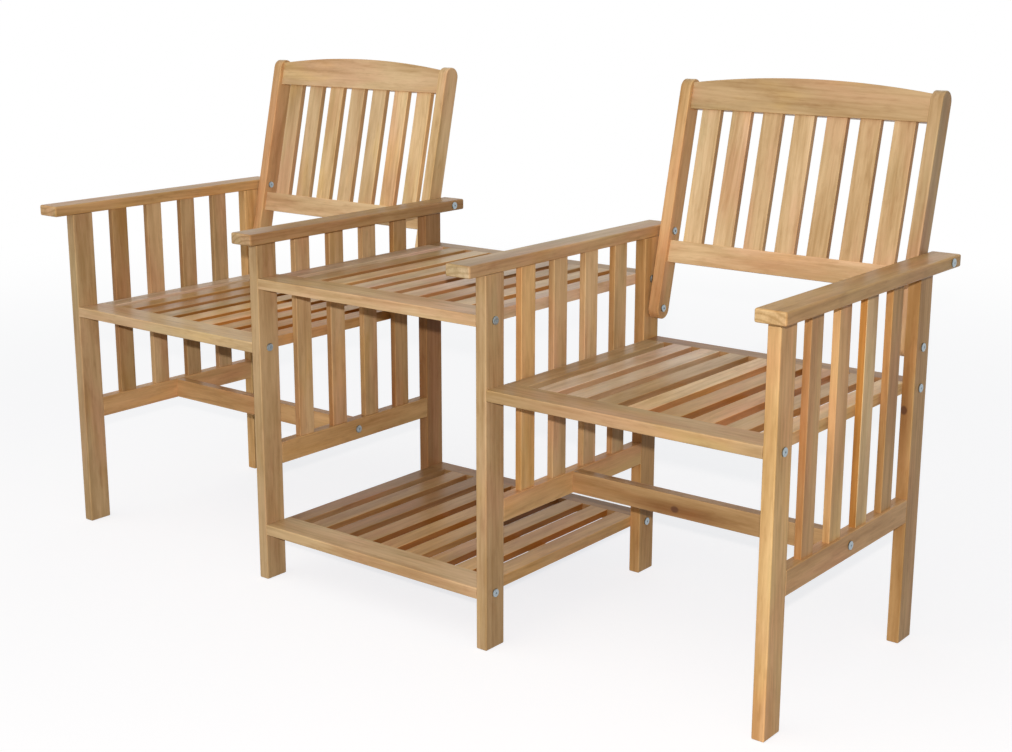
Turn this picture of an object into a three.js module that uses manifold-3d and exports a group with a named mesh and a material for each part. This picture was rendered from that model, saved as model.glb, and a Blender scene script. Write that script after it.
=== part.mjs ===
// Garden bench for two with a side table between its seats.
// Four slatted side frames carry two slatted seats, a table top and a shelf of the same make, and two
// leaning slatted backrests. All of it is flat hardwood board. The boards of a unit are tenoned
// together, and the units are bolted to one another.
// Millimetres. Seen from the front, +X is to the right; the front faces -Y and +Z is up. The origin is
// on the floor, under the middle of the overall box.
import * as THREE from "three";
import { mergeVertices } from "three/addons/utils/BufferGeometryUtils.js";
import Module from "manifold-3d";

// The bays between the side frames
const SEAT_BAY_WIDTH = 487;
const TABLE_BAY_WIDTH = 487;

// Side frames. A board's width is its broad side, and its thickness is its thin one.
const FRAME_DEPTH = 490; // from the front leg's front face to the back leg's rear face
const LEG_THICKNESS = 21;
const LEG_WIDTH = 46;
const LEG_EDGE = 2;
const ARM_ABOVE_SEAT = 180.5; // from the seat's upper face to the arm's underside
const ARM_THICKNESS = 20;
const ARM_WIDTH = 49;
const ARM_FRONT_OVERHANG = 39;
const ARM_BEHIND_BOLT = 30; // from its backrest bolt to its rear end
const ARM_EDGE = 3;
const LOWER_RAIL_BOTTOM = 209;
const LOWER_RAIL_WIDTH = 39;
const LOWER_RAIL_THICKNESS = 21;
const SIDE_SLAT_COUNT = 4;
const SIDE_SLAT_WIDTH = 37;
const SIDE_SLAT_THICKNESS = 12;
const SIDE_SLAT_HOUSING = 8; // how far a slat's top is let into the arm

// Seats, table top and shelf
const SEAT_TOP = 438;
const TABLE_BELOW_ARM = 64; // from the arm's underside to the table's upper face
const SHELF_TOP = 104;
const PANEL_THICKNESS = 19;
const FRONT_RAIL_WIDTH = 58;
const REAR_RAIL_WIDTH = 37;
const SIDE_RAIL_WIDTH = 37;
const PANEL_SLAT_COUNT = 7;
const PANEL_SLAT_WIDTH = 37;
const PANEL_SLAT_THICKNESS = 12;
const BATTEN_WIDTH = 37; // across the middle of each, under its slats

// Stretchers, between the lower rails under each seat
const STRETCHER_WIDTH = 37;
const STRETCHER_THICKNESS = 21;

// Backrests
const BACK_LEAN_DEGREES = 13;
const BACK_SIDE_GAP = 3; // between a stile and its leg and arm, filled by a spacer on each bolt
const BACK_BOLT_ABOVE_SEAT = 57;
const STILE_THICKNESS = 21;
const STILE_WIDTH = 36;
const STILE_LENGTH = 423;
const STILE_BELOW_BOLT = 19;
const STILE_BOLT_SETBACK = 15.5; // from a stile's front face to the middle of its bolts
const STILE_EDGE = 2;
const CREST_BELOW_STILE_TOP = 7;
const CREST_END_WIDTH = 45.5;
const CREST_ARCH = 14.5;
const CREST_THICKNESS = 21;
const BACK_RAIL_BELOW_ARM_BOLT = 16.5;
const BACK_RAIL_WIDTH = 38.5;
const BACK_RAIL_THICKNESS = 21;
const BACK_SLAT_COUNT = 7;
const BACK_SLAT_WIDTH = 37;
const BACK_SLAT_THICKNESS = 12;

// Tenons
const TENON_LENGTH = 12;
const TENON_THICKNESS = 9;
const SLAT_TENON_THICKNESS = 6;
const TENON_SHOULDER = 6; // from a board's narrow side to that of its tenon

// Bolts
const SHANK_DIAMETER = 6;
const SHANK_TIP = 1;
const HEAD_DIAMETER = 14;
const HEAD_HEIGHT = 2.5;
const NUT_DIAMETER = 13;
const NUT_HEIGHT = 2.5;
const SPACER_DIAMETER = 12;
const PANEL_BOLT_BITE = 30; // the length of shank inside a rail's end
const STRETCHER_BOLT_BITE = 40;
const BOLT_SIDES = 8;

const CLEARANCE = 0.3; // between a tenon or a shank and the hole it sits in

const WOOD = { color: 0xc49a63, roughness: 0.62, metalness: 0 };
const ZINC = { color: 0xa9b4bb, roughness: 0.35, metalness: 1 };

const ARM_UNDERSIDE = SEAT_TOP + ARM_ABOVE_SEAT;
const TABLE_TOP = ARM_UNDERSIDE - TABLE_BELOW_ARM;
const PANEL_LEVELS = { seat: SEAT_TOP, table: TABLE_TOP, shelf: SHELF_TOP };
const STILE_TOP = STILE_LENGTH - STILE_BELOW_BOLT;
const LEAN = THREE.MathUtils.degToRad(BACK_LEAN_DEGREES);
const FRONT_BOLT_Y = LEG_WIDTH / 2;
const REAR_BOLT_Y = FRAME_DEPTH - LEG_WIDTH / 2;
const BACK_BOLT_Z = SEAT_TOP + BACK_BOLT_ABOVE_SEAT;
const ARM_BOLT_Z = ARM_UNDERSIDE + ARM_THICKNESS / 2;
const ARM_BOLT_ALONG_STILE = (ARM_BOLT_Z - BACK_BOLT_Z) / Math.cos(LEAN);
const ARM_BOLT_Y = REAR_BOLT_Y + ARM_BOLT_ALONG_STILE * Math.sin(LEAN);
const STRETCHER_Y = FRAME_DEPTH / 2;
const STRETCHER_Z = LOWER_RAIL_BOTTOM + LOWER_RAIL_WIDTH / 2;

const wasm = await Module();
wasm.setup();

const middle = ([a, b]) => (a + b) / 2;
const length = ([a, b]) => Math.abs(b - a);
const around = (centre, size) => [centre - size / 2, centre + size / 2];
const narrowed = ([a, b], by) => [a + by, b - by];

// A solid for joining and cutting, from any closed three.js geometry.
function toSolid(geometry) {
  const bare = new THREE.BufferGeometry();
  bare.setAttribute("position", geometry.getAttribute("position"));
  bare.setIndex(geometry.getIndex());
  const merged = mergeVertices(bare, 1e-4);
  const corners = merged.getIndex().array;
  const kept = [];
  for (let i = 0; i < corners.length; i += 3) {
    const [a, b, c] = corners.slice(i, i + 3);
    if (a !== b && b !== c && c !== a) kept.push(a, b, c);
  }
  const vertProperties = new Float32Array(merged.getAttribute("position").array);
  return new wasm.Manifold(new wasm.Mesh({ numProp: 3, vertProperties, triVerts: new Uint32Array(kept) }));
}

function toGeometry(solid) {
  const { vertProperties, triVerts } = solid.getMesh();
  const geometry = new THREE.BufferGeometry();
  geometry.setAttribute("position", new THREE.BufferAttribute(vertProperties, 3));
  geometry.setIndex(new THREE.BufferAttribute(triVerts, 1));
  geometry.computeVertexNormals();
  return geometry;
}

const join = (solids) => solids.reduce((whole, next) => whole.add(next));
const cut = (solid, holes) => holes.reduce((rest, hole) => rest.subtract(hole), solid);

// A square-edged board that fills the given ranges of X, Y and Z.
function board(xs, ys, zs) {
  const geometry = new THREE.BoxGeometry(length(xs), length(ys), length(zs));
  return toSolid(geometry.translate(middle(xs), middle(ys), middle(zs)));
}

// The same with every edge chamfered.
function easedBoard(xs, ys, zs, edge) {
  const [left, right] = around(0, length(xs));
  const [front, rear] = around(0, length(ys));
  const outline = [
    [left + edge, front], [right - edge, front], [right, front + edge], [right, rear - edge],
    [right - edge, rear], [left + edge, rear], [left, rear - edge], [left, front + edge],
  ].map(([x, y]) => new THREE.Vector2(x, y));
  const geometry = new THREE.ExtrudeGeometry(new THREE.Shape(outline), {
    depth: length(zs) - 2 * edge,
    bevelThickness: edge,
    bevelSize: edge,
    bevelOffset: -edge,
    bevelSegments: 1,
  });
  return toSolid(geometry.translate(middle(xs), middle(ys), Math.min(...zs) + edge));
}

// The hole for a tenon that fills the given ranges.
const mortise = (ranges) => board(...ranges.map((range) => narrowed(range, -CLEARANCE)));

// The hole for a bolt along X. Its flat sides stay clear of the shank's corners.
function boltHole([from, to], y, z) {
  const radius = (SHANK_DIAMETER / 2 + CLEARANCE) / Math.cos(Math.PI / BOLT_SIDES);
  const geometry = new THREE.CylinderGeometry(radius, radius, to - from, BOLT_SIDES);
  return toSolid(geometry.rotateZ(-Math.PI / 2).translate((from + to) / 2, y, z));
}

// Equal ranges of one width with equal gaps before, between and after them.
function spread(count, width, [from, to]) {
  const gap = (to - from - count * width) / (count + 1);
  return Array.from({ length: count }, (_, i) => {
    const start = from + gap + i * (width + gap);
    return [start, start + width];
  });
}

function piece(name, solid, finish = WOOD) {
  const mesh = new THREE.Mesh(toGeometry(solid), new THREE.MeshStandardMaterial(finish));
  mesh.name = name;
  return mesh;
}

// Side frame. In its own frame X = 0 is the middle of the legs, Y = 0 their front and Z = 0 the floor.
// towardsSeat is 1 or -1, the side of its seat. The arm is flush with the legs there and overhangs
// them on the other side.
function sideFrame(name, towardsSeat, panelNames) {
  const frame = new THREE.Group();
  const across = around(0, LEG_THICKNESS);
  const seatFace = (towardsSeat * LEG_THICKNESS) / 2;
  const armAcross = [seatFace, seatFace - towardsSeat * ARM_WIDTH].sort((a, b) => a - b);
  const through = narrowed(across, -CLEARANCE);
  const railAlong = [LEG_WIDTH, FRAME_DEPTH - LEG_WIDTH];
  const railAcross = around(0, LOWER_RAIL_THICKNESS);
  const railUp = [LOWER_RAIL_BOTTOM, LOWER_RAIL_BOTTOM + LOWER_RAIL_WIDTH];
  const boltLevels = panelNames.map((panel) => PANEL_LEVELS[panel] - PANEL_THICKNESS / 2);

  const armTenons = [];
  const railTenon = [
    around(0, TENON_THICKNESS), narrowed(railAlong, -TENON_LENGTH), narrowed(railUp, TENON_SHOULDER),
  ];
  for (const [end, boltY] of [["front", FRONT_BOLT_Y], ["back", REAR_BOLT_Y]]) {
    const along = around(boltY, LEG_WIDTH);
    const tenon = [
      around(0, TENON_THICKNESS), narrowed(along, TENON_SHOULDER), around(ARM_UNDERSIDE, 2 * TENON_LENGTH),
    ];
    armTenons.push(tenon);
    const overlong = easedBoard(across, along, [0, ARM_UNDERSIDE + 2 * LEG_EDGE], LEG_EDGE);
    const squareTop = board(across, along, [ARM_UNDERSIDE, ARM_UNDERSIDE + 3 * LEG_EDGE]);
    const leg = overlong.subtract(squareTop).add(board(...tenon));
    const holes = boltLevels.map((z) => boltHole(through, boltY, z));
    if (end === "back") holes.push(boltHole(through, boltY, BACK_BOLT_Z));
    frame.add(piece(`${name}_${end}_leg`, cut(leg, [mortise(railTenon), ...holes])));
  }

  const slats = spread(SIDE_SLAT_COUNT, SIDE_SLAT_WIDTH, railAlong).map((along) => [
    around(0, SIDE_SLAT_THICKNESS), along, [middle(railUp), ARM_UNDERSIDE + SIDE_SLAT_HOUSING],
  ]);
  const rail = board(railAcross, railAlong, railUp);
  const grille = join([rail, board(...railTenon), ...slats.map((slat) => board(...slat))]);
  const stretcherHole = boltHole(narrowed(railAcross, -CLEARANCE), STRETCHER_Y, STRETCHER_Z);
  frame.add(piece(`${name}_side_slats`, cut(grille, [stretcherHole])));

  const armAlong = [-ARM_FRONT_OVERHANG, ARM_BOLT_Y + ARM_BEHIND_BOLT];
  const arm = easedBoard(armAcross, armAlong, [ARM_UNDERSIDE, ARM_UNDERSIDE + ARM_THICKNESS], ARM_EDGE);
  const armHole = boltHole(narrowed(armAcross, -CLEARANCE), ARM_BOLT_Y, ARM_BOLT_Z);
  frame.add(piece(`${name}_arm`, cut(arm, [...armTenons.map(mortise), ...slats.map(mortise), armHole])));
  return frame;
}

// Seat, table top or shelf. In its own frame X = 0 is the middle of its bay and Z = 0 its upper face.
// The slats are thinner than the rails and flush with their upper faces. A batten under them, flush with
// the rails' undersides, ties the slats together.
function panel(name, width) {
  const group = new THREE.Group();
  const across = around(0, width);
  const deep = [-PANEL_THICKNESS, 0];
  const rearRailFront = FRAME_DEPTH - REAR_RAIL_WIDTH;
  const boltZ = -PANEL_THICKNESS / 2;
  const bites = [
    [width / 2 - PANEL_BOLT_BITE - CLEARANCE, width / 2 + CLEARANCE],
    [-width / 2 - CLEARANCE, -width / 2 + PANEL_BOLT_BITE + CLEARANCE],
  ];
  const boltHoles = (y) => bites.map((bite) => boltHole(bite, y, boltZ));

  const between = [FRONT_RAIL_WIDTH, rearRailFront + TENON_LENGTH];
  const tenonAlong = around(FRONT_RAIL_WIDTH, 2 * TENON_LENGTH);
  const inner = narrowed(across, SIDE_RAIL_WIDTH);
  const sideRails = [[across[0], inner[0]], [inner[1], across[1]]];
  const boards = [
    board(across, [rearRailFront, FRAME_DEPTH], deep),
    board(inner, around(FRAME_DEPTH / 2, BATTEN_WIDTH), [-PANEL_THICKNESS, -PANEL_SLAT_THICKNESS]),
  ];
  const tenons = [];
  const addMember = (xs, zs, tenonThickness) => {
    boards.push(board(xs, between, zs));
    tenons.push([narrowed(xs, TENON_SHOULDER), tenonAlong, around(middle(zs), tenonThickness)]);
  };
  sideRails.forEach((xs) => addMember(xs, deep, TENON_THICKNESS));
  spread(PANEL_SLAT_COUNT, PANEL_SLAT_WIDTH, inner).forEach((xs) => {
    addMember(xs, [-PANEL_SLAT_THICKNESS, 0], SLAT_TENON_THICKNESS);
  });

  const frontRail = cut(board(across, [0, FRONT_RAIL_WIDTH], deep), tenons.map(mortise));
  group.add(piece(`${name}_front_rail`, cut(frontRail, boltHoles(FRONT_BOLT_Y))));
  const grille = join([...boards, ...tenons.map((tenon) => board(...tenon))]);
  group.add(piece(`${name}_slats`, cut(grille, boltHoles(REAR_BOLT_Y))));
  return group;
}

function stretcher(name) {
  const across = around(0, SEAT_BAY_WIDTH + LEG_THICKNESS - LOWER_RAIL_THICKNESS);
  const bite = STRETCHER_BOLT_BITE + CLEARANCE;
  const bar = board(across, around(STRETCHER_Y, STRETCHER_THICKNESS), around(STRETCHER_Z, STRETCHER_WIDTH));
  return piece(name, cut(bar, [
    boltHole([across[0] - CLEARANCE, across[0] + bite], STRETCHER_Y, STRETCHER_Z),
    boltHole([across[1] - bite, across[1] + CLEARANCE], STRETCHER_Y, STRETCHER_Z),
  ]));
}

// Backrest. In its own frame the lower bolts lie on the X axis and Z runs up along the stiles, so that
// leaning it back is one turn of its group. The rails and slats are centred on the stiles' width.
function backrest(name) {
  const group = new THREE.Group();
  const stileFront = -STILE_BOLT_SETBACK;
  const centre = stileFront + STILE_WIDTH / 2;
  const outside = SEAT_BAY_WIDTH / 2 - BACK_SIDE_GAP;
  const inside = outside - STILE_THICKNESS;
  const inner = [-inside + CLEARANCE, inside - CLEARANCE];

  const crestTop = STILE_TOP - CREST_BELOW_STILE_TOP;
  const crestUp = [crestTop - CREST_END_WIDTH, crestTop];
  const railTop = ARM_BOLT_ALONG_STILE - BACK_RAIL_BELOW_ARM_BOLT;
  const railUp = [railTop - BACK_RAIL_WIDTH, railTop];
  const tenons = [crestUp, railUp].map((up) => [
    around(0, 2 * (inside + TENON_LENGTH)), around(centre, TENON_THICKNESS), narrowed(up, TENON_SHOULDER),
  ]);
  const slats = spread(BACK_SLAT_COUNT, BACK_SLAT_WIDTH, inner).map((xs) => {
    return board(xs, around(centre, BACK_SLAT_THICKNESS), [middle(railUp), middle(crestUp)]);
  });
  const rail = board(inner, around(centre, BACK_RAIL_THICKNESS), railUp);
  const rails = [crest(inner, crestUp, centre), rail, ...tenons.map((tenon) => board(...tenon))];
  group.add(piece(`${name}_slats`, join([...rails, ...slats])));

  for (const [end, side] of [["left", -1], ["right", 1]]) {
    const xs = around((side * (inside + outside)) / 2, STILE_THICKNESS);
    const through = narrowed(xs, -CLEARANCE);
    group.add(piece(`${name}_${end}_stile`, cut(stile(xs, stileFront), [
      ...tenons.map(mortise), boltHole(through, 0, 0), boltHole(through, 0, ARM_BOLT_ALONG_STILE),
    ])));
  }
  return group;
}

// The top rail of a backrest, whose upper edge is one arc that rises by CREST_ARCH in the middle.
function crest([left, right], [bottom, endTop], centre) {
  const halfChord = (right - left) / 2;
  const radius = (halfChord ** 2 + CREST_ARCH ** 2) / (2 * CREST_ARCH);
  const reach = Math.asin(halfChord / radius);
  const outline = new THREE.Shape();
  outline.moveTo(left, bottom);
  outline.lineTo(right, bottom);
  outline.lineTo(right, endTop);
  outline.absarc(0, endTop + CREST_ARCH - radius, radius, Math.PI / 2 - reach, Math.PI / 2 + reach);
  const geometry = new THREE.ExtrudeGeometry(outline, {
    depth: CREST_THICKNESS, bevelEnabled: false, curveSegments: 16,
  });
  return toSolid(geometry.rotateX(Math.PI / 2).translate(0, centre + CREST_THICKNESS / 2, 0));
}

// A stile: an upright with round ends and chamfered edges.
function stile(xs, front) {
  const radius = STILE_WIDTH / 2;
  const centre = front + radius;
  const outline = new THREE.Shape();
  outline.absarc(centre, STILE_TOP - radius, radius, 0, Math.PI);
  outline.absarc(centre, radius - STILE_BELOW_BOLT, radius, Math.PI, 2 * Math.PI);
  const geometry = new THREE.ExtrudeGeometry(outline, {
    depth: STILE_THICKNESS - 2 * STILE_EDGE,
    bevelThickness: STILE_EDGE,
    bevelSize: STILE_EDGE,
    bevelOffset: -STILE_EDGE,
    bevelSegments: 1,
    curveSegments: 8,
  });
  geometry.rotateZ(Math.PI / 2).rotateY(Math.PI / 2);
  return toSolid(geometry.translate(Math.min(...xs) + STILE_EDGE, 0, 0));
}

// A round-headed bolt along +X, its head's flat face at X = 0. `through` is a list of the thicknesses it
// passes: with one, the shank ends there; with two, a spacer lies between them and a nut after them.
function bolt(name, through) {
  const shank = SHANK_DIAMETER / 2;
  const dome = (face, diameter, height) => [0, 1, 2, 3].map((i) => {
    const angle = (i * Math.PI) / 6;
    return [(Math.sin(angle) * diameter) / 2, face + Math.cos(angle) * height];
  });
  const profile = [...dome(0, HEAD_DIAMETER, -HEAD_HEIGHT), [shank, 0]];
  const [first, second] = through;
  if (second === undefined) {
    profile.push([shank, first - SHANK_TIP], [shank - SHANK_TIP, first], [0, first]);
  } else {
    const spacer = SPACER_DIAMETER / 2;
    const spacerEnd = first + BACK_SIDE_GAP;
    const nutFace = spacerEnd + second;
    profile.push([shank, first], [spacer, first], [spacer, spacerEnd], [shank, spacerEnd]);
    profile.push([shank, nutFace], ...dome(nutFace, NUT_DIAMETER, NUT_HEIGHT).reverse());
  }
  const outline = profile.map(([r, along]) => new THREE.Vector2(r, along));
  const geometry = new THREE.LatheGeometry(outline, BOLT_SIDES).rotateZ(-Math.PI / 2);
  return piece(name, toSolid(geometry), ZINC);
}

// The bolts of one side frame, in that frame's own frame.
function frameBolts(name, towardsSeat, panelNames) {
  const group = new THREE.Group();
  const add = (label, x, y, z, direction, through) => {
    const mesh = bolt(`${name}_${label}_bolt`, through);
    mesh.position.set(x, y, z);
    mesh.rotation.z = direction > 0 ? 0 : Math.PI;
    group.add(mesh);
  };
  const outerFace = (-towardsSeat * LEG_THICKNESS) / 2;
  for (const panelName of panelNames) {
    const direction = panelName === "seat" ? towardsSeat : -towardsSeat;
    const x = (-direction * LEG_THICKNESS) / 2;
    const z = PANEL_LEVELS[panelName] - PANEL_THICKNESS / 2;
    const shank = [LEG_THICKNESS + PANEL_BOLT_BITE];
    add(`${panelName}_front`, x, FRONT_BOLT_Y, z, direction, shank);
    add(`${panelName}_rear`, x, REAR_BOLT_Y, z, direction, shank);
  }
  const railFace = (-towardsSeat * LOWER_RAIL_THICKNESS) / 2;
  const stretcherShank = [LOWER_RAIL_THICKNESS + STRETCHER_BOLT_BITE];
  add("stretcher", railFace, STRETCHER_Y, STRETCHER_Z, towardsSeat, stretcherShank);
  add("back_lower", outerFace, REAR_BOLT_Y, BACK_BOLT_Z, towardsSeat, [LEG_THICKNESS, STILE_THICKNESS]);
  const armOuterEdge = towardsSeat * (LEG_THICKNESS / 2 - ARM_WIDTH);
  add("back_upper", armOuterEdge, ARM_BOLT_Y, ARM_BOLT_Z, towardsSeat, [ARM_WIDTH, STILE_THICKNESS]);
  return group;
}

// The bench is put together from left to right.
const bench = new THREE.Group();
const innerFrameX = (TABLE_BAY_WIDTH + LEG_THICKNESS) / 2;
const seatX = innerFrameX + (SEAT_BAY_WIDTH + LEG_THICKNESS) / 2;
const outerFrameX = seatX + (SEAT_BAY_WIDTH + LEG_THICKNESS) / 2;

for (const [name, x, towardsSeat, panelNames] of [
  ["outer_left", -outerFrameX, 1, ["seat"]],
  ["inner_left", -innerFrameX, -1, ["seat", "table", "shelf"]],
  ["inner_right", innerFrameX, 1, ["seat", "table", "shelf"]],
  ["outer_right", outerFrameX, -1, ["seat"]],
]) {
  const frame = sideFrame(name, towardsSeat, panelNames);
  frame.add(frameBolts(name, towardsSeat, panelNames));
  frame.position.x = x;
  bench.add(frame);
}

for (const [name, x, width, top] of [
  ["left_seat", -seatX, SEAT_BAY_WIDTH, SEAT_TOP],
  ["right_seat", seatX, SEAT_BAY_WIDTH, SEAT_TOP],
  ["table", 0, TABLE_BAY_WIDTH, TABLE_TOP],
  ["shelf", 0, TABLE_BAY_WIDTH, SHELF_TOP],
]) {
  const slatted = panel(name, width);
  slatted.position.set(x, 0, top);
  bench.add(slatted);
}

for (const [side, x] of [["left", -seatX], ["right", seatX]]) {
  const bar = stretcher(`${side}_stretcher`);
  bar.position.x = x;
  const back = backrest(`${side}_backrest`);
  back.position.set(x, REAR_BOLT_Y, BACK_BOLT_Z);
  back.rotation.x = -LEAN;
  bench.add(bar, back);
}

const overall = new THREE.Box3().setFromObject(bench, true);
bench.position.y = -(overall.min.y + overall.max.y) / 2;

const group = new THREE.Group();
group.add(bench);
export default group;
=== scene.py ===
"""Garden bench with side table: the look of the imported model.
Metres. Seen from the front, +X is to the right; the front faces -Y and +Z is up.
"""
import math
import random

import bmesh
import bpy
from mathutils import Matrix, Vector


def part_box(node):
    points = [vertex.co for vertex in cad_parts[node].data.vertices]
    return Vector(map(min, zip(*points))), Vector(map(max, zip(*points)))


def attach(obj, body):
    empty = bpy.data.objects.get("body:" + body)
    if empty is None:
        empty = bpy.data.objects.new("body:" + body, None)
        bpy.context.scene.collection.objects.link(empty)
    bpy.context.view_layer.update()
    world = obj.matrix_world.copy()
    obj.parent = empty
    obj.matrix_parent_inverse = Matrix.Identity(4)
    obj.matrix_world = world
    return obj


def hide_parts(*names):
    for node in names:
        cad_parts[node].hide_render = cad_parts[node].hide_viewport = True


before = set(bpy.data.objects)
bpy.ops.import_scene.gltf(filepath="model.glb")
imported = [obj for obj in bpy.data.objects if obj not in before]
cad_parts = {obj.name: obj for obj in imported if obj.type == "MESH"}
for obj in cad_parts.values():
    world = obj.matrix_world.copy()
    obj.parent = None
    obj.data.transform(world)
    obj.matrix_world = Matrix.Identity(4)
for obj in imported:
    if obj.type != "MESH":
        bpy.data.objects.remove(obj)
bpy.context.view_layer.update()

# Camera. It stands about three metres from the bench, in front of it and to its right, at chest height,
# and looks slightly down.
CAMERA_PLACE = Vector((1.7729, -2.1394, 1.0701))
CAMERA_TURN = math.radians(38.75)
CAMERA_DROP = math.radians(13.665)
CAMERA_ROLL = math.radians(-0.07)
CAMERA_SENSOR = 36.0
CAMERA_LENS = 56.81
CAMERA_SHIFT_X = 0.0168
CAMERA_SHIFT_Y = -0.0154
camera_data = bpy.data.cameras.new("camera")
camera_data.sensor_width = CAMERA_SENSOR
camera_data.lens = CAMERA_LENS
camera_data.shift_x = CAMERA_SHIFT_X
camera_data.shift_y = CAMERA_SHIFT_Y
camera = bpy.data.objects.new("camera", camera_data)
upright = Matrix.Rotation(CAMERA_TURN, 4, "Z") @ Matrix.Rotation(math.pi / 2 - CAMERA_DROP, 4, "X")
camera.matrix_world = Matrix.Translation(CAMERA_PLACE) @ upright @ Matrix.Rotation(CAMERA_ROLL, 4, "Z")
bpy.context.scene.collection.objects.link(camera)
bpy.context.scene.camera = camera


# Floor, backdrop and light. The floor is a wide pale disc that fades into a white surround. The main
# light is the camera's own flash, which nothing mirrors, so that it leaves no glare. A pale sky,
# brightest high up in front, fills in the shade, and a second glow, low down behind, lights the back.
def new_material(name):
    material = bpy.data.materials.new(name)
    material.use_nodes = True
    material.node_tree.nodes.clear()
    return material, material.node_tree


def add_node(tree, kind, inputs=(), **settings):
    node = tree.nodes.new("ShaderNode" + kind)
    for key, value in settings.items():
        setattr(node, key, value)
    for socket, value in dict(inputs).items():
        if isinstance(value, bpy.types.NodeSocket):
            tree.links.new(value, node.inputs[socket])
        else:
            node.inputs[socket].default_value = value
    return node


def calculate(tree, operation, *values):
    return add_node(tree, "Math", enumerate(values), operation=operation).outputs[0]


def seen_directly(tree):
    rays = add_node(tree, "LightPath").outputs
    either = calculate(tree, "MAXIMUM", rays["Is Camera Ray"], rays["Is Glossy Ray"])
    return calculate(tree, "MAXIMUM", either, rays["Is Transmission Ray"])


WHITE = (1, 1, 1, 1)
FLOOR_RADIUS = 14.0
FLOOR_STEPS = 96
FLOOR_BELOW_LEGS = 0.0005
FLOOR_COLOUR = (0.38, 0.335, 0.275, 1)
FLOOR_GLOW = 0.735
FLOOR_GLOW_COLOUR = (0.975, 1.0, 1.04, 1)
FLOOR_FADE_START = 1.4
FLOOR_FADE_END = 4.0
floor_shape = bmesh.new()
bmesh.ops.create_circle(floor_shape, cap_ends=True, radius=FLOOR_RADIUS, segments=FLOOR_STEPS)
bmesh.ops.translate(floor_shape, vec=(0, 0, -FLOOR_BELOW_LEGS), verts=floor_shape.verts)
floor_mesh = bpy.data.meshes.new("floor")
floor_shape.to_mesh(floor_mesh)
floor_shape.free()
floor = bpy.data.objects.new("floor", floor_mesh)
bpy.context.scene.collection.objects.link(floor)

floor_paint, tree = new_material("floor_paint")
place = add_node(tree, "TexCoord").outputs["Object"]
distance = add_node(tree, "VectorMath", {0: place}, operation="LENGTH").outputs["Value"]
fade = add_node(tree, "MapRange", {
    "Value": distance, "From Min": FLOOR_FADE_START, "From Max": FLOOR_FADE_END,
}, interpolation_type="SMOOTHSTEP").outputs["Result"]
in_view = seen_directly(tree)
matt = add_node(tree, "BsdfDiffuse", {"Color": FLOOR_COLOUR}).outputs[0]
glow_strength = calculate(tree, "MULTIPLY", in_view, FLOOR_GLOW)
glow = add_node(tree, "Emission", {"Color": FLOOR_GLOW_COLOUR, "Strength": glow_strength}).outputs[0]
near = add_node(tree, "AddShader", {0: matt, 1: glow}).outputs[0]
white = add_node(tree, "Emission", {"Color": WHITE, "Strength": 1.0}).outputs[0]
share = calculate(tree, "MULTIPLY", fade, in_view)
mixed = add_node(tree, "MixShader", {0: share, 1: near, 2: white}).outputs[0]
add_node(tree, "OutputMaterial", {"Surface": mixed})
floor_mesh.materials.append(floor_paint)

SKY_LOW = 0.02
SKY_RISE = 0.03
SKY_GLOW = 1.22
SKY_GLOW_FROM = (-0.15, -0.66, 0.735)
SKY_GLOW_SPREAD = 3.0
SKY_BACK_GLOW = 0.85
SKY_BACK_GLOW_FROM = (-0.50, 0.865, 0.04)
SKY_COLOUR = (0.96, 1.01, 1.10, 1)
surround = bpy.data.worlds.new("surround")
surround.use_nodes = True
sky = surround.node_tree
sky.nodes.clear()
facing = add_node(sky, "TexCoord").outputs["Generated"]
towards = add_node(sky, "SeparateXYZ", {0: facing}).outputs
upwards = calculate(sky, "MAXIMUM", towards["Z"], 0.0)
strength = calculate(sky, "MULTIPLY_ADD", upwards, SKY_RISE, SKY_LOW)
for centre, brightness in ((SKY_GLOW_FROM, SKY_GLOW), (SKY_BACK_GLOW_FROM, SKY_BACK_GLOW)):
    aligned = add_node(sky, "VectorMath", {0: facing, 1: centre}, operation="DOT_PRODUCT")
    ahead = calculate(sky, "MAXIMUM", aligned.outputs["Value"], 0.0)
    lobe = calculate(sky, "POWER", ahead, SKY_GLOW_SPREAD)
    strength = calculate(sky, "MULTIPLY_ADD", lobe, brightness, strength)
fill = add_node(sky, "Background", {"Color": SKY_COLOUR, "Strength": strength}).outputs[0]
paper = add_node(sky, "Background", {"Color": WHITE, "Strength": 1.0}).outputs[0]
shown = add_node(sky, "MixShader", {0: seen_directly(sky), 1: fill, 2: paper})
add_node(sky, "OutputWorld", {"Surface": shown.outputs[0]})
bpy.context.scene.world = surround

FLASH_ABOVE_LENS = 0.10
FLASH_POWER = 60.0
FLASH_COLOUR = (1.0, 1.0, 1.10)
FLASH_RADIUS = 0.02
flash_light = bpy.data.lights.new("flash", "POINT")
flash_light.energy = FLASH_POWER
flash_light.color = FLASH_COLOUR
flash_light.shadow_soft_size = FLASH_RADIUS
flash_light.use_nodes = True
bulb = flash_light.node_tree
bulb.nodes.clear()
reach = add_node(bulb, "LightFalloff", {"Strength": 1.0}).outputs["Linear"]
beam = add_node(bulb, "Emission", {"Color": WHITE, "Strength": reach}).outputs[0]
add_node(bulb, "OutputLight", {"Surface": beam})
flash = bpy.data.objects.new("flash", flash_light)
flash.location = CAMERA_PLACE + Vector((0, 0, FLASH_ABOVE_LENS))
flash.visible_glossy = False
bpy.context.scene.collection.objects.link(flash)
bpy.context.scene.view_settings.view_transform = "Standard"


# Legs. Each side frame stands on two, sawn from oiled hardwood with softly rounded edges. A tenon on
# each top is glued into the arm.
EASING_STEPS = 3
LEG_EDGE = 0.002
TIGHT_EDGE = 0.0004
HARD_EDGE = math.radians(60)
HAIR = 1e-5
SIDES = {"-x": (0, 0), "+x": (0, 1), "-y": (1, 0), "+y": (1, 1), "-z": (2, 0), "+z": (2, 1)}


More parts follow.
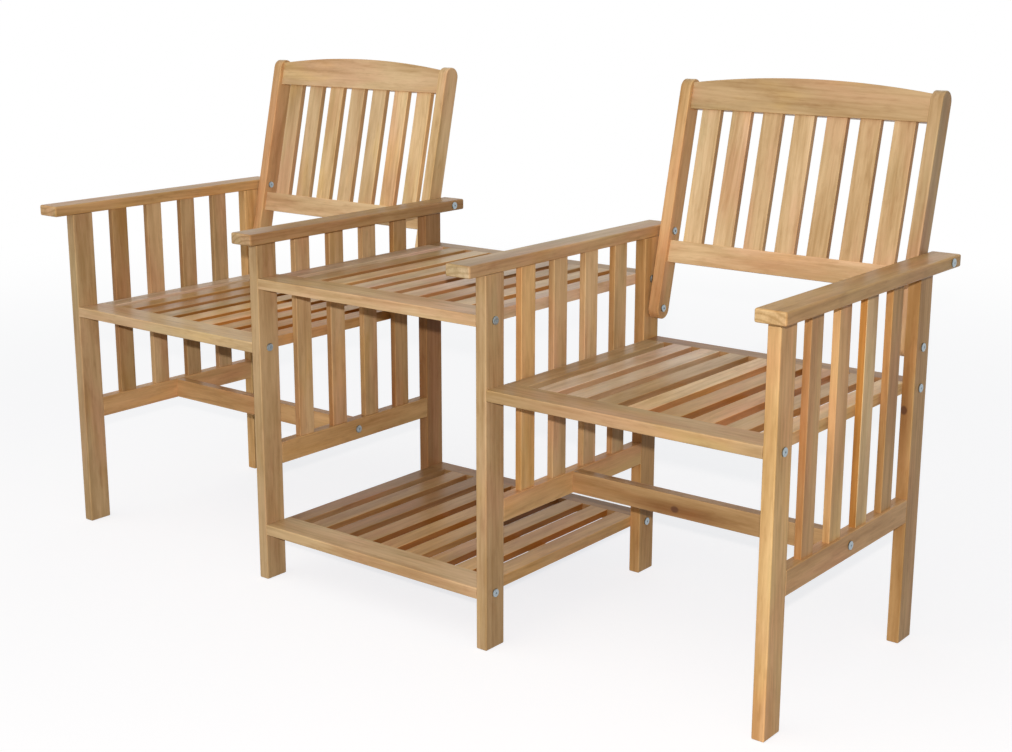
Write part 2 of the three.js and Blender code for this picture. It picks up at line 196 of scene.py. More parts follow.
def round_edges(shape, edges, radius):
    """Rounds the edges, and marks the new faces as eased, for the material. It paints them paler, partly
    for sanded wood and partly as a painted highlight.
    """
    layers = shape.faces.layers.float
    eased = layers.get("eased") or layers.new("eased")
    rounded = bmesh.ops.bevel(
        shape, geom=edges, offset=radius, offset_type="OFFSET", segments=EASING_STEPS, profile=0.5,
        affect="EDGES", clamp_overlap=True, material=-1,
    )
    for face in rounded["faces"]:
        face[eased] = 1.0


def hard_edges(shape):
    return [e for e in shape.edges if e.calc_face_angle(0) > HARD_EDGE]


def sawn_block(low, high, edge, tight=()):
    """A block with rounded edges. Edges on the tight sides, where it meets another board, are crisp."""
    low, high = Vector(low), Vector(high)
    shape = bmesh.new()
    bmesh.ops.create_cube(shape, size=1.0)
    bmesh.ops.scale(shape, vec=high - low, verts=shape.verts)
    bmesh.ops.translate(shape, vec=(low + high) / 2, verts=shape.verts)
    planes = [(axis, (low, high)[end][axis]) for axis, end in (SIDES[side] for side in tight)]

    def at_joint(line):
        return any(all(abs(v.co[axis] - at) < HAIR for v in line.verts) for axis, at in planes)

    round_edges(shape, [e for e in shape.edges if not at_joint(e)], edge)
    round_edges(shape, [e for e in hard_edges(shape) if at_joint(e)], TIGHT_EDGE)
    return shape


HEART_DISTANCE = (0.03, 0.11)
TURN_SPREAD = 0.7
RUNOUT = 0.03
BEND = 0.02
HEIGHT_IN_LOG = (2.0, 40.0)
AMBER_SHADE_SHARE = (0.20, 0.62)
SQUARE_ON = 0.8


def saw_from_log(shape, name, grain, amber=0.0, **cut):
    """Gives every point its place in the log that the board was sawn from, along the log's Z axis. Each
    board is cut from a random place, unless `cut` says otherwise. `amber` darkens its narrow faces to
    amber: partly their own deeper edge tone, partly painted shade of the recesses and slots between boards."""
    draw = random.Random(name)
    corners = [v.co for v in shape.verts]
    low = Vector([min(c[i] for c in corners) for i in range(3)])
    high = Vector([max(c[i] for c in corners) for i in range(3)])
    middle = (low + high) / 2
    wide, thin = sorted((i for i in range(3) if i != grain), key=lambda i: low[i] - high[i])
    place = {
        "from_heart": draw.uniform(*HEART_DISTANCE),
        "turn": draw.gauss(0.0, TURN_SPREAD) + draw.choice((0.0, math.pi)),
        "runout": draw.uniform(-RUNOUT, RUNOUT),
        "bend": draw.uniform(-BEND, BEND),
        "height": draw.uniform(*HEIGHT_IN_LOG),
        "aside": 0.0,
    }
    place.update(cut)
    place_in_log = shape.verts.layers.float_vector.new("log")
    for v in shape.verts:
        offset = v.co - middle
        along = offset[grain]
        x = offset[thin] * math.cos(place["turn"]) - offset[wide] * math.sin(place["turn"])
        y = offset[thin] * math.sin(place["turn"]) + offset[wide] * math.cos(place["turn"])
        v[place_in_log] = (
            x + place["from_heart"] + place["runout"] * along,
            y + place["aside"] + place["bend"] * along,
            along + place["height"],
        )
    end_grain = shape.faces.layers.float.new("end_grain")
    amber_edge_shade = shape.faces.layers.float.new("amber_edge_shade")
    amber *= draw.uniform(*AMBER_SHADE_SHARE)
    for face in shape.faces:
        if abs(face.normal[grain]) > SQUARE_ON:
            face[end_grain] = 1.0
        elif abs(face.normal[wide]) > SQUARE_ON:
            face[amber_edge_shade] = min(amber, 1.0)


def make_piece(shape, name, material):
    for face in shape.faces:
        face.smooth = True
    mesh = bpy.data.meshes.new(name)
    shape.to_mesh(mesh)
    shape.free()
    mesh.materials.append(material)
    piece = bpy.data.objects.new(name, mesh)
    bpy.context.scene.collection.objects.link(piece)
    normals = piece.modifiers.new("flat_faces", "WEIGHTED_NORMAL")
    normals.keep_sharp = True
    return piece


def fit(piece, node):
    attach(piece, "root")
    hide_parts(node)


# A _NOISE is how fine the noise is across and along the grain, its detail and its roughness. A _RAMP is
# the values at which it sets in and is full, and what it gives there. A _DYE multiplies the tone.
RING_SPACING = 0.0045
RING_WANDER = 0.022
RING_NOISE = (16.0, 2.4)
RING_RAMP = (0.40, 1.0)
FACE_FIGURE = 0.20
END_FIGURE = 0.45
FIBRE_NOISE = (380.0, 12.0, 3.0, 0.6)
FIBRE_RAMP = (0.3, 0.7)
FIBRE_FIGURE = 0.26
BROAD_NOISE = (30.0, 4.0, 5.0, 0.6)
BROAD_RAMP = (0.34, 0.68, 0.0, 0.75)
DEEP = (0.68, 0.61, 0.51)
PATCHES = (
    ((16.0, 4.0, 3.0, 0.5), (0.44, 0.68, 0.0, 0.85), (1.02, 0.89, 0.94)),
    ((20.0, 3.6, 3.0, 0.55), (0.50, 0.74, 0.0, 0.75), (0.84, 0.90, 0.86)),
    ((17.0, 4.4, 3.0, 0.55), (0.52, 0.72, 0.0, 0.60), (1.08, 1.03, 0.78)),
    ((95.0, 24.0, 3.0, 0.6), (0.50, 0.76, 0.0, 0.75), (0.84, 0.79, 0.74)),
)
SAPWOOD_FROM = 0.132
SAPWOOD_BLEND = 0.006
SAPWOOD_MOST = 0.7
SAPWOOD = (0.76, 0.50, 0.20)
HALO_RAMP = (0.003, 0.016, 0.7, 0.0)
HALO_SQUEEZE = 0.12
HALO_DYE = (0.55, 0.40, 0.30)
BRANCH_RADIUS = 0.007
BRANCH_CORE = 0.55
BRANCH_MOST = 0.85
BRANCH_SQUEEZE = 0.75
BRANCH = (0.13, 0.055, 0.028)
PIT_NOISE = (1000.0, 40.0, 1.0)
PIT_RAMP = (0.62, 0.74, 0.0, 0.30)
PIT_DYE = (0.74, 0.68, 0.58)
AMBER_SHADE_DYE = (0.66, 0.42, 0.20)
END_GRAIN_DYE = (1.12, 1.24, 1.42)
EASED_SANDING_AND_HIGHLIGHT_DYE = (1.10, 1.10, 1.08)
FIBRE_RELIEF = 0.6
PIT_RELIEF = -2.0
WOOD_RELIEF = 0.0003
WOOD_RELIEF_SHARE = 0.35
WOOD_ROUGHNESS = 0.27
WOOD_ROUGHNESS_RANGE = 0.14
WOOD_GLOSS = 0.10


def timber(name, pale):
    """Oiled hardwood. Its tone drifts between pale and deep in streaks along the grain, over growth rings,
    with rosy, olive, golden and smoky patches. Sapwood and branches lie where they do in a log."""
    material, tree = new_material(name)

    def attribute(layer, output):
        return add_node(tree, "Attribute", attribute_name=layer, attribute_type="GEOMETRY").outputs[output]

    def streaks(across, along, detail=2.0, roughness=0.5):
        mapped = add_node(tree, "Mapping", {"Vector": log, "Scale": (across, across, along)}).outputs[0]
        sockets = {"Vector": mapped, "Scale": 1.0, "Detail": detail, "Roughness": roughness}
        return add_node(tree, "TexNoise", sockets).outputs["Fac"]

    def ramp(value, low, high, to_low=0.0, to_high=1.0):
        sockets = {"Value": value, "From Min": low, "From Max": high, "To Min": to_low, "To Max": to_high}
        return add_node(tree, "MapRange", sockets, interpolation_type="SMOOTHSTEP").outputs["Result"]

    def mix(share, first, second, blend="MIX"):
        sockets = {0: share, 6: first, 7: (*second, 1) if isinstance(second, tuple) else second}
        return add_node(tree, "Mix", sockets, data_type="RGBA", blend_type=blend).outputs[2]

    def dyed(tone, share, *factors):
        return mix(share, tone, factors, "MULTIPLY")

    def from_axis(**reach):
        aside = {axis: calculate(tree, "MULTIPLY", split[axis], factor) for axis, factor in reach.items()}
        flat = add_node(tree, "CombineXYZ", aside).outputs[0]
        return add_node(tree, "VectorMath", {0: flat}, operation="LENGTH").outputs["Value"]

    log = attribute("log", "Vector")
    end_grain = attribute("end_grain", "Fac")
    split = add_node(tree, "SeparateXYZ", {0: log}).outputs
    from_heart = from_axis(X=1.0, Y=1.0)
    waved = calculate(tree, "MULTIPLY_ADD", streaks(*RING_NOISE), RING_WANDER, from_heart)
    ring = calculate(tree, "PINGPONG", calculate(tree, "DIVIDE", waved, RING_SPACING), 1.0)
    ring_share = calculate(tree, "MULTIPLY_ADD", end_grain, END_FIGURE, FACE_FIGURE)
    fibres = streaks(*FIBRE_NOISE)
    broad = ramp(streaks(*BROAD_NOISE), *BROAD_RAMP)
    depth = calculate(tree, "MULTIPLY_ADD", ramp(ring, *RING_RAMP), ring_share, broad)
    depth = calculate(tree, "MULTIPLY_ADD", ramp(fibres, *FIBRE_RAMP), FIBRE_FIGURE, depth)
    tone = mix(depth, (*pale, 1), tuple(c * f for c, f in zip(pale, DEEP)))
    for patch_noise, patch_ramp, patch_dye in PATCHES:
        tone = dyed(tone, ramp(streaks(*patch_noise), *patch_ramp), *patch_dye)
    sapwood = ramp(waved, SAPWOOD_FROM, SAPWOOD_FROM + SAPWOOD_BLEND, 0.0, SAPWOOD_MOST)
    tone = mix(sapwood, tone, SAPWOOD)
    halo = ramp(from_axis(Y=1.0, Z=HALO_SQUEEZE), *HALO_RAMP)
    tone = dyed(tone, halo, *HALO_DYE)
    from_branch = from_axis(Y=1.0, Z=BRANCH_SQUEEZE)
    branch = ramp(from_branch, BRANCH_RADIUS * BRANCH_CORE, BRANCH_RADIUS, BRANCH_MOST, 0.0)
    tone = mix(branch, tone, BRANCH)
    pit = ramp(streaks(*PIT_NOISE), *PIT_RAMP)
    tone = dyed(tone, pit, *PIT_DYE)
    # Painted shade: narrow faces, in the recesses and slots between boards, are darkened amber, over their
    # own deeper edge tone.
    tone = dyed(tone, attribute("amber_edge_shade", "Fac"), *AMBER_SHADE_DYE)
    tone = dyed(tone, end_grain, *END_GRAIN_DYE)
    # Painted highlight: eased edges are painted paler, partly for their sanded wood, partly as the light
    # that the rounded edges catch.
    tone = dyed(tone, attribute("eased", "Fac"), *EASED_SANDING_AND_HIGHLIGHT_DYE)
    pitted = calculate(tree, "MULTIPLY", pit, PIT_RELIEF)
    relief = calculate(tree, "MULTIPLY_ADD", fibres, FIBRE_RELIEF, pitted)
    bump = add_node(tree, "Bump", {
        "Strength": WOOD_RELIEF_SHARE, "Distance": WOOD_RELIEF, "Height": relief,
    }).outputs[0]
    rough = calculate(tree, "MULTIPLY_ADD", fibres, WOOD_ROUGHNESS_RANGE, WOOD_ROUGHNESS)
    surface = add_node(tree, "BsdfPrincipled", {
        "Base Color": tone, "Roughness": rough, "Specular IOR Level": WOOD_GLOSS, "Normal": bump,
    })
    add_node(tree, "OutputMaterial", {"Surface": surface.outputs[0]})
    return material


TIMBER = {
    "cream": timber("cream_timber", (0.97, 0.683, 0.348)),
    "straw": timber("straw_timber", (0.84, 0.591, 0.309)),
    "ash": timber("ash_timber", (0.88, 0.665, 0.431)),
    "gold": timber("gold_timber", (0.89, 0.578, 0.248)),
    "honey": timber("honey_timber", (0.75, 0.511, 0.255)),
    "amber": timber("amber_timber", (0.80, 0.485, 0.212)),
    "olive": timber("olive_timber", (0.66, 0.446, 0.220)),
    "russet": timber("russet_timber", (0.69, 0.420, 0.172)),
    "umber": timber("umber_timber", (0.58, 0.361, 0.158)),
    "brown": timber("brown_timber", (0.46, 0.263, 0.111)),
}
# The inner left back leg, under the table top, is given the darkest tone, which partly paints its shade.
LEG_TONES = {
    "outer_left": ("olive", "gold"), "inner_left": ("olive", "brown"),
    "inner_right": ("olive", "russet"), "outer_right": ("gold", "russet"),
}
# Painted shade, amber, on the back legs' front and rear faces, which stand behind the front legs and under
# the arm.
LEG_AMBER_SHADE = {"front": 0.0, "back": 0.6}
LEG_CUTS = {
    "outer_right_back_leg": {
        "from_heart": 0.05, "turn": math.pi / 2, "aside": 0.0045, "height": -0.085,
        "runout": 0.0, "bend": 0.0,
    },
}
FRAMES = {"outer_left": 1, "inner_left": -1, "inner_right": 1, "outer_right": -1}

for frame_name in FRAMES:
    arm_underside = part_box(f"{frame_name}_arm")[0].z
    for end, tone in zip(("front", "back"), LEG_TONES[frame_name]):
        node = f"{frame_name}_{end}_leg"
        low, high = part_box(node)
        shape = sawn_block(low, (high.x, high.y, arm_underside), LEG_EDGE, ["+z"])
        saw_from_log(shape, node, 2, LEG_AMBER_SHADE[end], **LEG_CUTS.get(node, {}))
        fit(make_piece(shape, f"{node}_post", TIMBER[tone]), node)

# Lower rails and side slats. A rail is tenoned between the two legs of each side frame, and four flat
# slats stand in it, with their tops let into the arm.
LOWER_RAIL_WIDTH = 0.039
RAIL_EDGE = 0.0012
LOWER_RAIL_TONES = {
    "outer_left": "amber", "inner_left": "russet", "inner_right": "amber", "outer_right": "amber",
}
SIDE_SLAT_TONES = {
    "outer_left": ("umber", "honey", "olive", "olive"), "inner_left": ("honey", "honey", "honey", "umber"),
    "inner_right": ("gold", "honey", "straw", "honey"), "outer_right": ("amber", "gold", "cream", "russet"),
}
SLAT_WIDTH = 0.037
SLAT_THICKNESS = 0.012
SLAT_EDGE = 0.0015
# Painted shade, amber, on the slats' front and rear edges, under the arm and behind the legs; two slats of
# the right frame get more, partly for their own darker edges.
SLAT_AMBER_SHADE = 1.0
DARK_EDGES_AND_SHADE = {"outer_right_side_slat_1": 1.6, "outer_right_side_slat_3": 8.0}
HOUSING = 0.004


def spread(count, width, start, end):
    gap = (end - start - count * width) / (count + 1)
    return [start + gap + i * (width + gap) for i in range(count)]


for frame_name in FRAMES:
    node = f"{frame_name}_side_slats"
    low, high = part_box(node)
    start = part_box(f"{frame_name}_front_leg")[1].y
    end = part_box(f"{frame_name}_back_leg")[0].y
    rail_top = low.z + LOWER_RAIL_WIDTH
    shape = sawn_block((low.x, start, low.z), (high.x, end, rail_top), RAIL_EDGE, ["-y", "+y"])
    saw_from_log(shape, f"{frame_name}_rail", 1)
    fit(make_piece(shape, f"{frame_name}_lower_rail", TIMBER[LOWER_RAIL_TONES[frame_name]]), node)
    middle = (low.x + high.x) / 2
    arm_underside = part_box(f"{frame_name}_arm")[0].z
    tones = SIDE_SLAT_TONES[frame_name]
    for i, y in enumerate(spread(len(tones), SLAT_WIDTH, start, end)):
        foot = (middle - SLAT_THICKNESS / 2, y, rail_top - HOUSING)
        top = (middle + SLAT_THICKNESS / 2, y + SLAT_WIDTH, arm_underside + HOUSING)
        shape = sawn_block(foot, top, SLAT_EDGE)
        board = f"{frame_name}_side_slat_{i + 1}"
        saw_from_log(shape, board, 2, DARK_EDGES_AND_SHADE.get(board, SLAT_AMBER_SHADE))
        fit(make_piece(shape, board, TIMBER[tones[i]]), node)

# Arms. One board lies flat on each side frame, flush with the legs on the seat's side, with well
# rounded edges. It holds the tenons of the legs and slats below it.
ARM_EDGE = 0.003
ARM_TONES = {"outer_left": "russet", "inner_left": "umber", "inner_right": "olive", "outer_right": "russet"}
for frame_name in FRAMES:
    node = f"{frame_name}_arm"
    low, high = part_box(node)
    shape = sawn_block(low, high, ARM_EDGE)
    saw_from_log(shape, node, 1)
    fit(make_piece(shape, f"{frame_name}_arm_board", TIMBER[ARM_TONES[frame_name]]), node)

# Seats, table top and shelf. All are one make: a wide front rail, a rear rail, two side rails and seven
# thinner slats, tenoned and glued, and sanded flush on top. A batten under the slats holds them in line.
PANEL_EDGE = 0.002
SIDE_RAIL = 0.037
REAR_RAIL = 0.037
BATTEN_WIDTH = 0.037
# The batten is given a pale tone that paints the light falling on it through the slots.
BATTEN_PAINTED_LIGHT_TONE = "cream"
# Painted shade, amber, on the slats' sides, which are the walls of the slots between them.
PANEL_AMBER_SHADE = 2.0
# The shelf's rear and left rails are given the darkest tone, which partly paints the shade under the table
# top.
PANEL_RAIL_TONES = {
    "left_seat": {"front": "straw", "rear": "honey", "left": "ash", "right": "russet"},
    "right_seat": {"front": "olive", "rear": "brown", "left": "olive", "right": "cream"},
    "table": {"front": "straw", "rear": "umber", "left": "ash", "right": "ash"},
    "shelf": {"front": "honey", "rear": "brown", "left": "brown", "right": "russet"},
}
# The shelf's slats are given dark tones, which partly paint the shade under the table top.
PANEL_SLAT_TONES = {
    "left_seat": ("russet", "umber", "olive", "gold", "gold", "russet", "russet"),
    "right_seat": ("ash", "ash", "olive", "cream", "russet", "amber", "honey"),
    "table": ("olive", "straw", "ash", "ash", "ash", "olive", "straw"),
    "shelf": ("umber", "brown", "umber", "russet", "russet", "umber", "russet"),
}
for panel, tones in PANEL_SLAT_TONES.items():
    rail_low, rail_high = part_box(f"{panel}_front_rail")
    low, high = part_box(f"{panel}_slats")
    shape = sawn_block(rail_low, rail_high, PANEL_EDGE, ["-x", "+x", "+y"])
    saw_from_log(shape, f"{panel}_front", 0)
    rail_tones = PANEL_RAIL_TONES[panel]
    front_tone = TIMBER[rail_tones["front"]]
    fit(make_piece(shape, f"{panel}_front_board", front_tone), f"{panel}_front_rail")
    slat_start = rail_high.y
    slat_end = high.y - REAR_RAIL
    ends = ((low.x, slat_end, low.z), high)
    boards = {"rear_board": (*ends, PANEL_EDGE, ["-x", "+x", "-y"], 0, rail_tones["rear"])}
    for label, x in (("left", low.x), ("right", high.x - SIDE_RAIL)):
        ends = ((x, slat_start, low.z), (x + SIDE_RAIL, slat_end, high.z))
        boards[f"{label}_board"] = (*ends, RAIL_EDGE, ["-y", "+y"], 1, rail_tones[label])
    for i, x in enumerate(spread(len(tones), SLAT_WIDTH, low.x + SIDE_RAIL, high.x - SIDE_RAIL)):
        ends = ((x, slat_start, high.z - SLAT_THICKNESS), (x + SLAT_WIDTH, slat_end, high.z))
        boards[f"slat_{i + 1}"] = (*ends, RAIL_EDGE, ["-y", "+y"], 1, tones[i])
    across = (low.x + SIDE_RAIL, high.x - SIDE_RAIL)
    batten_y = (rail_low.y + high.y - BATTEN_WIDTH) / 2
    ends = ((across[0], batten_y, low.z), (across[1], batten_y + BATTEN_WIDTH, high.z - SLAT_THICKNESS))
    boards["batten"] = (*ends, RAIL_EDGE, ["-x", "+x", "+z"], 0, BATTEN_PAINTED_LIGHT_TONE)
    for label, (near, far, edge, tight, grain, tone) in boards.items():
        name = f"{panel}_{label}"
        shape = sawn_block(near, far, edge, tight)
        saw_from_log(shape, name, grain, PANEL_AMBER_SHADE if label.startswith("slat") else 0.0)
        fit(make_piece(shape, name, TIMBER[tone]), f"{panel}_slats")

# Stretchers. A bar of the same wood under each seat holds the two lower rails apart. A bolt through
# each rail is screwed into its end.
STRETCHER_TONES = {"left": "amber", "right": "umber"}
STRETCHER_CUTS = {
    "right": {
        "from_heart": 0.06, "turn": 0.0, "aside": 0.0056, "height": 0.040,
        "runout": 0.0, "bend": 0.0,
    },
}
for side, tone in STRETCHER_TONES.items():
    node = f"{side}_stretcher"
    low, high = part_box(node)
    shape = sawn_block(low, high, RAIL_EDGE, ["-x", "+x"])
    saw_from_log(shape, node, 0, **STRETCHER_CUTS.get(side, {}))
    fit(make_piece(shape, f"{side}_stretcher_bar", TIMBER[tone]), node)

# Backrests. Two round-ended stiles lean back between the arms. An arched crest rail, a lower rail and
# seven slats are tenoned between them. Each is built upright on its lower bolts and then leaned.
STILE_WIDTH = 0.036
STILE_EDGE = 0.002
STILE_BELOW_BOLT = 0.019
STILE_TOP = 0.404
STILE_SETBACK = 0.0155
STILE_THICKNESS = 0.021
BACK_MIDDLE_Y = STILE_WIDTH / 2 - STILE_SETBACK
ROUND_END_STEPS = 12
MERGE_WITHIN = 1e-4
CREST_BOTTOM = 0.3515
CREST_END_TOP = 0.397
CREST_ARCH = 0.0145
CREST_STEPS = 28
BACK_RAIL_WIDTH = 0.0385
BACK_RAIL_THICKNESS = 0.021
BACK_RAIL_BELOW_BOLT = 0.0165
BACK_CUTS = {"right_backrest_slat_1": {"from_heart": 0.108, "turn": math.pi / 2}}
BACK_RAIL_TONES = {
    "left": {"left_stile": "amber", "right_stile": "cream", "crest": "straw", "lower": "straw"},
    "right": {"left_stile": "amber", "right_stile": "olive", "crest": "olive", "lower": "straw"},
}
BACK_SLAT_TONES = {
    "left": ("honey", "straw", "cream", "straw", "straw", "cream", "cream"),
    "right": ("straw", "straw", "honey", "straw", "honey", "honey", "honey"),
}


def stile_block(left, right):
    """A stile, upright: the two edges across each end are rounded until they meet."""
    shape = bmesh.new()
    bmesh.ops.create_cube(shape, size=1.0)
    height = STILE_TOP + STILE_BELOW_BOLT
    middle = ((left + right) / 2, BACK_MIDDLE_Y, STILE_TOP - height / 2)
    bmesh.ops.scale(shape, vec=(right - left, STILE_WIDTH, height), verts=shape.verts)
    bmesh.ops.translate(shape, vec=middle, verts=shape.verts)
    end_edges = [e for e in shape.edges if abs(e.verts[0].co.x - e.verts[1].co.x) > MERGE_WITHIN]
    bmesh.ops.bevel(
        shape, geom=end_edges, offset=STILE_WIDTH / 2 - HAIR, offset_type="OFFSET",
        segments=ROUND_END_STEPS, profile=0.5, affect="EDGES", clamp_overlap=True, material=-1,
    )
    bmesh.ops.remove_doubles(shape, verts=shape.verts, dist=MERGE_WITHIN)
    round_edges(shape, hard_edges(shape), STILE_EDGE)
    return shape


def crest_block(left, right):
    """A straight-bottomed rail whose upper edge rises in one arc."""
    shape = bmesh.new()
    on_edge = Matrix.Rotation(math.pi / 2, 4, "X")
    bmesh.ops.create_grid(shape, x_segments=CREST_STEPS, y_segments=1, size=0.5, matrix=on_edge)
    half = (right - left) / 2
    radius = (half ** 2 + CREST_ARCH ** 2) / (2 * CREST_ARCH)
    for v in shape.verts:
        v.co.x *= 2 * half
        arc = math.sqrt(radius ** 2 - v.co.x ** 2) - radius + CREST_ARCH
        v.co.z = CREST_END_TOP + arc if v.co.z > 0 else CREST_BOTTOM
        v.co.y = BACK_MIDDLE_Y - BACK_RAIL_THICKNESS / 2
    grown = bmesh.ops.extrude_face_region(shape, geom=shape.faces[:])["geom"]
    rear = [v for v in grown if isinstance(v, bmesh.types.BMVert)]
    bmesh.ops.translate(shape, vec=(0, BACK_RAIL_THICKNESS, 0), verts=rear)
    bmesh.ops.translate(shape, vec=((left + right) / 2, 0, 0), verts=shape.verts)
    bmesh.ops.recalc_face_normals(shape, faces=shape.faces)
    round_edges(shape, hard_edges(shape), RAIL_EDGE)
    return shape


for side, left_frame in (("left", "outer_left"), ("right", "inner_right")):
    lower_low, lower_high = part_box(f"{left_frame}_back_lower_bolt")
    upper_low, upper_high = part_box(f"{left_frame}_back_upper_bolt")
    pivot = (lower_low + lower_high) / 2
    pivot.x = 0
    to_arm_bolt = (upper_low + upper_high) / 2 - pivot
    to_arm_bolt.x = 0
    lean = Matrix.Translation(pivot) @ Matrix.Rotation(-math.atan2(to_arm_bolt.y, to_arm_bolt.z), 4, "X")
    outer = (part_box(f"{side}_backrest_left_stile")[0].x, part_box(f"{side}_backrest_right_stile")[1].x)
    inner = (outer[0] + STILE_THICKNESS, outer[1] - STILE_THICKNESS)
    rail_top = to_arm_bolt.length - BACK_RAIL_BELOW_BOLT
    tones = BACK_RAIL_TONES[side]
    node = f"{side}_backrest_slats"
    left_stile, right_stile = f"{side}_backrest_left_stile", f"{side}_backrest_right_stile"
    parts = {
        "left_stile_post": (stile_block(outer[0], inner[0]), left_stile, 2, tones["left_stile"]),
        "right_stile_post": (stile_block(inner[1], outer[1]), right_stile, 2, tones["right_stile"]),
        "crest_rail": (crest_block(*inner), node, 0, tones["crest"]),
    }
    low = (inner[0], BACK_MIDDLE_Y - BACK_RAIL_THICKNESS / 2, rail_top - BACK_RAIL_WIDTH)
    high = (inner[1], BACK_MIDDLE_Y + BACK_RAIL_THICKNESS / 2, rail_top)
    rail = sawn_block(low, high, RAIL_EDGE, ["-x", "+x"])
    parts["lower_rail"] = (rail, node, 0, tones["lower"])
    slat_tones = BACK_SLAT_TONES[side]
    for i, x in enumerate(spread(len(slat_tones), SLAT_WIDTH, *inner)):
        low = (x, BACK_MIDDLE_Y - SLAT_THICKNESS / 2, rail_top - HOUSING)
        high = (x + SLAT_WIDTH, BACK_MIDDLE_Y + SLAT_THICKNESS / 2, CREST_BOTTOM + HOUSING)
        parts[f"slat_{i + 1}"] = (sawn_block(low, high, SLAT_EDGE), node, 2, slat_tones[i])
    for label, (shape, node, grain, tone) in parts.items():
        name = f"{side}_backrest_{label}"
        # The slats' sides, between them, get painted shade, amber.
        amber = SLAT_AMBER_SHADE if label.startswith("slat") else 0.0
        saw_from_log(shape, name, grain, amber, **BACK_CUTS.get(name, {}))
        bmesh.ops.transform(shape, matrix=lean, verts=shape.verts)
        fit(make_piece(shape, name, TIMBER[tone]), node)

# Bolts. Flat round heads with a rounded rim and a hexagon socket, of zinc-plated steel, with plain
# shanks. The backrest bolts also pass a spacer and end in a nut with the same kind of head.
HEAD_DIAMETER = 0.014
HEAD_HEIGHT = 0.0025
HEAD_RIM = 0.0012
HEAD_STEPS = 24
SOCKET_ACROSS = 0.0034
SOCKET_DEPTH = 0.0012
SHANK_DIAMETER = 0.006
NUT_DIAMETER = 0.013
SPACER_DIAMETER = 0.012
SPACER_LENGTH = 0.003
SPACER_EDGE = 0.0003
ZINC_DARK = (0.30, 0.37, 0.41, 1)
ZINC_LIGHT = (0.46, 0.52, 0.55, 1)
ZINC_FINENESS = 900.0
ZINC_ROUGHNESS = 0.36
ZINC_ROUGHNESS_RANGE = 0.15
ZINC_RELIEF = 0.0001
ZINC_RELIEF_SHARE = 0.2


def zinc_plate():
    material, tree = new_material("zinc_plate")
    place = add_node(tree, "TexCoord").outputs["Object"]
    sockets = {"Vector": place, "Scale": ZINC_FINENESS, "Detail": 2.0}
    grain = add_node(tree, "TexNoise", sockets).outputs["Fac"]
    rough = calculate(tree, "MULTIPLY_ADD", grain, ZINC_ROUGHNESS_RANGE, ZINC_ROUGHNESS)
    tint = add_node(tree, "Mix", {0: grain, 6: ZINC_DARK, 7: ZINC_LIGHT}, data_type="RGBA")
    bump = add_node(tree, "Bump", {
        "Strength": ZINC_RELIEF_SHARE, "Distance": ZINC_RELIEF, "Height": grain,
    }).outputs[0]
    surface = add_node(tree, "BsdfPrincipled", {
        "Base Color": tint.outputs[2], "Metallic": 1.0, "Roughness": rough, "Normal": bump,
    })
    add_node(tree, "OutputMaterial", {"Surface": surface.outputs[0]})
    return material


ZINC = zinc_plate()


def moved_by(grown, shape, offset):
    verts = [v for v in grown["geom"] if isinstance(v, bmesh.types.BMVert)]
    bmesh.ops.translate(shape, vec=offset, verts=verts)


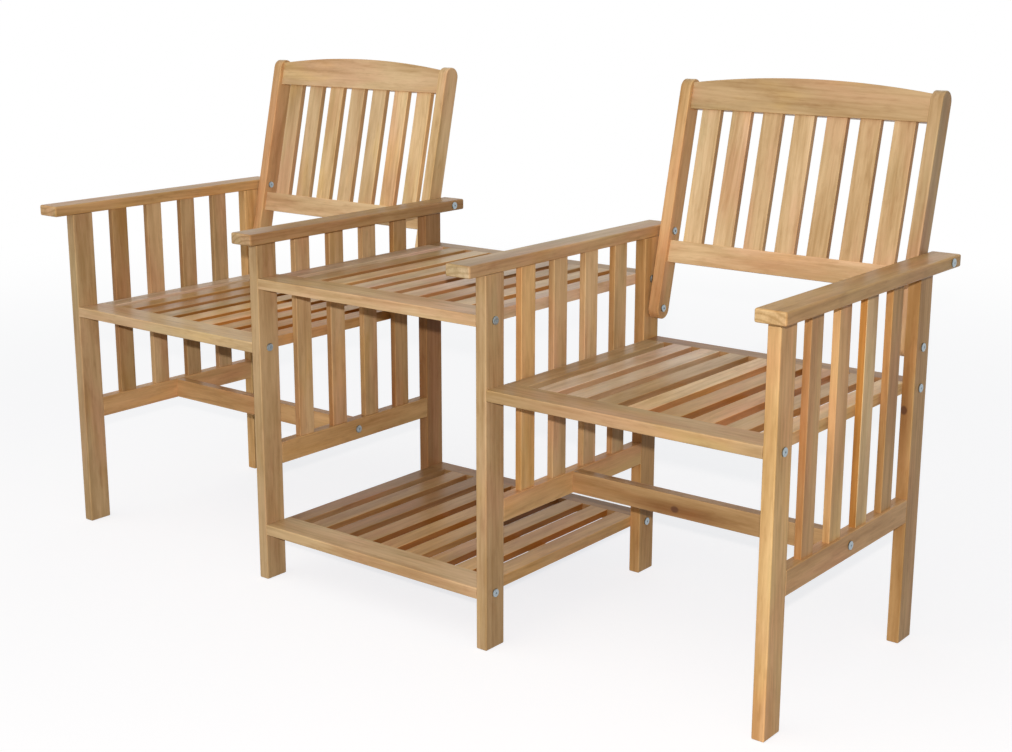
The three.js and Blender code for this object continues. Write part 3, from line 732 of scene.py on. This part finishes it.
def socket_head(diameter, shank_length):
    """A head whose flat underside is at Z = 0, with a hexagon socket on top and a shank below it."""
    shape = bmesh.new()
    bmesh.ops.create_circle(shape, cap_ends=True, radius=diameter / 2, segments=HEAD_STEPS)
    under = shape.faces[:][0]
    moved_by(bmesh.ops.extrude_face_region(shape, geom=[under]), shape, (0, 0, HEAD_HEIGHT))
    bmesh.ops.recalc_face_normals(shape, faces=shape.faces)
    rim = [e for e in shape.edges if all(v.co.z > HEAD_HEIGHT / 2 for v in e.verts)]
    round_edges(shape, rim, HEAD_RIM)
    top = max(shape.faces, key=lambda f: f.calc_center_median().z)
    bmesh.ops.inset_region(shape, faces=[top], thickness=(diameter - SOCKET_ACROSS) / 2 - HEAD_RIM)
    for v in top.verts:
        angle = math.atan2(v.co.y, v.co.x) % (math.pi / 3) - math.pi / 6
        flat = Vector((v.co.x, v.co.y, 0)).normalized() * (SOCKET_ACROSS / 2 / math.cos(angle))
        v.co = (flat.x, flat.y, v.co.z)
    grown = bmesh.ops.extrude_discrete_faces(shape, faces=[top])["faces"]
    bmesh.ops.translate(shape, vec=(0, 0, -SOCKET_DEPTH), verts=grown[0].verts)
    if shank_length:
        under = min(shape.faces, key=lambda f: f.calc_center_median().z)
        bmesh.ops.inset_region(shape, faces=[under], thickness=(diameter - SHANK_DIAMETER) / 2)
        grown = bmesh.ops.extrude_discrete_faces(shape, faces=[under])["faces"]
        bmesh.ops.translate(shape, vec=(0, 0, -shank_length), verts=grown[0].verts)
    return shape


def spacer_ring():
    shape = bmesh.new()
    bmesh.ops.create_cone(
        shape, cap_ends=True, segments=HEAD_STEPS, radius1=SPACER_DIAMETER / 2, radius2=SPACER_DIAMETER / 2,
        depth=SPACER_LENGTH,
    )
    round_edges(shape, hard_edges(shape), SPACER_EDGE)
    return shape


def put_on_bolt_line(shape, x, centre, outward):
    """Turns a shape made along Z so that its Z axis points outward along X, at that place."""
    turned = Matrix.Rotation(outward * math.pi / 2, 4, "Y")
    place = Matrix.Translation((x, centre.y, centre.z))
    bmesh.ops.transform(shape, matrix=place @ turned, verts=shape.verts)
    return shape


FRAME_BOLTS = ["seat_front", "seat_rear", "stretcher", "back_lower", "back_upper"]
TABLE_BOLTS = ["table_front", "table_rear", "shelf_front", "shelf_rear"]
for frame_name, towards_seat in FRAMES.items():
    labels = FRAME_BOLTS + (TABLE_BOLTS if frame_name.startswith("inner") else [])
    for label in labels:
        node = f"{frame_name}_{label}_bolt"
        low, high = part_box(node)
        centre = (low + high) / 2
        outward = towards_seat if label in TABLE_BOLTS else -towards_seat
        head_x = high.x - HEAD_HEIGHT if outward > 0 else low.x + HEAD_HEIGHT
        shank = high.x - low.x - HEAD_HEIGHT
        if label.startswith("back"):
            shank -= HEAD_HEIGHT
            nut_x = head_x - outward * shank
            nut = put_on_bolt_line(socket_head(NUT_DIAMETER, 0), nut_x, centre, -outward)
            fit(make_piece(nut, f"{node}_nut", ZINC), node)
            spacer_x = nut_x + outward * (STILE_THICKNESS + SPACER_LENGTH / 2)
            spacer = put_on_bolt_line(spacer_ring(), spacer_x, centre, outward)
            fit(make_piece(spacer, f"{node}_spacer", ZINC), node)
        shape = put_on_bolt_line(socket_head(HEAD_DIAMETER, shank), head_x, centre, outward)
        fit(make_piece(shape, f"{node}_screw", ZINC), node)
